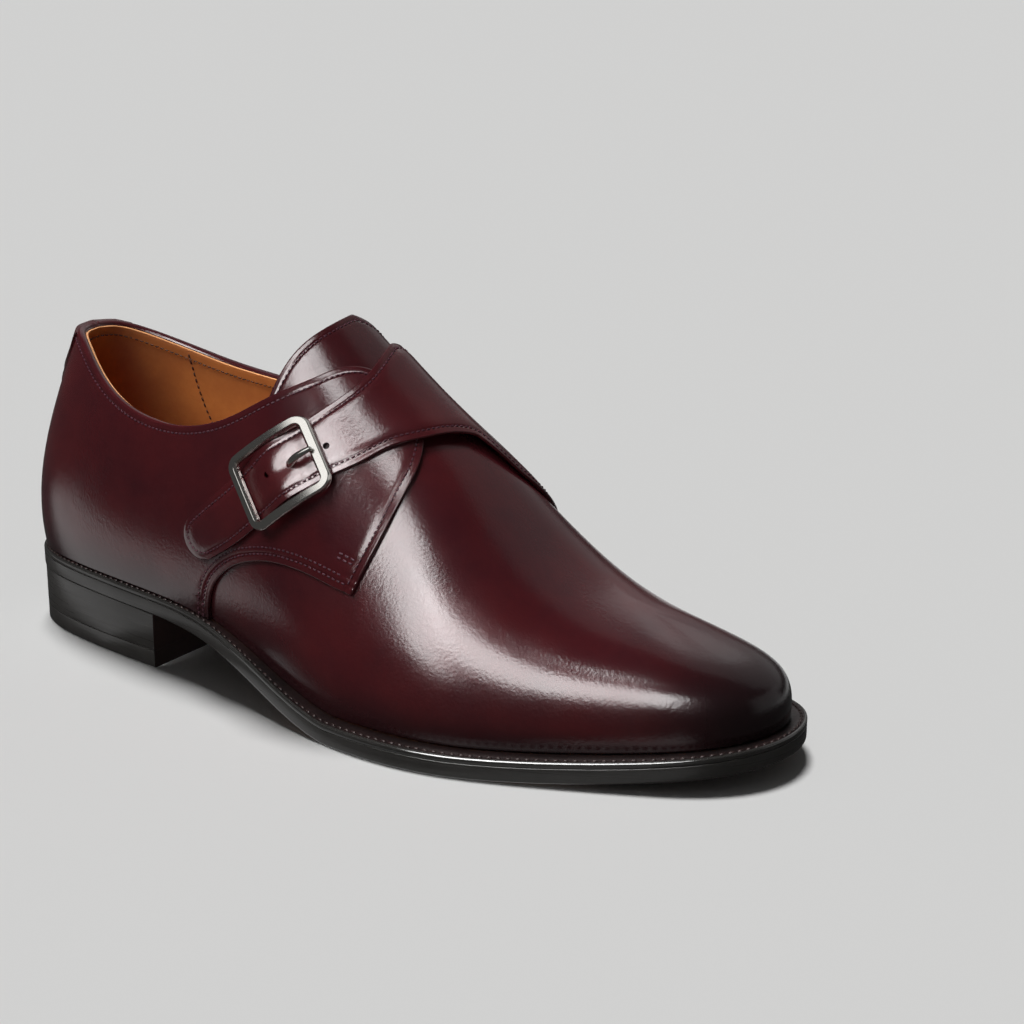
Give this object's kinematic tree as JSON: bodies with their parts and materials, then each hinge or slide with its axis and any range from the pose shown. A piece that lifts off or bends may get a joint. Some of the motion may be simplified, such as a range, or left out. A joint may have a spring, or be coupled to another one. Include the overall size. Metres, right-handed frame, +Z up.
{
  "type": "monk strap shoe",
  "caption": "Right leather shoe closed by a buckled strap across the instep, with a welted leather sole and a low stacked heel.",
  "frame": {"origin": "centre of the shoe's bounding box, on the floor it stands on", "axes": "+X from heel to toe, +Y to the medial side, the inner side of the foot, and +Z up"},
  "size_m": [0.3, 0.1103, 0.1238],
  "materials": {
    "upper_leather": "polished",
    "tongue_leather": "polished",
    "quarter_lateral_leather": "polished",
    "quarter_medial_leather": "polished",
    "heel_tab_leather": "polished",
    "buckle_metal": "satin",
    "prong_metal": "satin",
    "insole_leather": "matte",
    "welt_leather": "satin",
    "outsole_leather": "satin",
    "heel_leather": "satin",
    "top_lift_rubber": "matte"
  },
  "bodies": {
    "root": {"upper": "upper_leather", "tongue": "tongue_leather", "quarter_lateral": "quarter_lateral_leather", "quarter_medial_strap": "quarter_medial_leather", "heel_tab": "heel_tab_leather", "buckle_frame": "buckle_metal", "buckle_prong": "prong_metal", "insole": "insole_leather", "welt": "welt_leather", "outsole": "outsole_leather", "heel_stack": "heel_leather", "top_lift": "top_lift_rubber"}
  },
  "joints": []
}
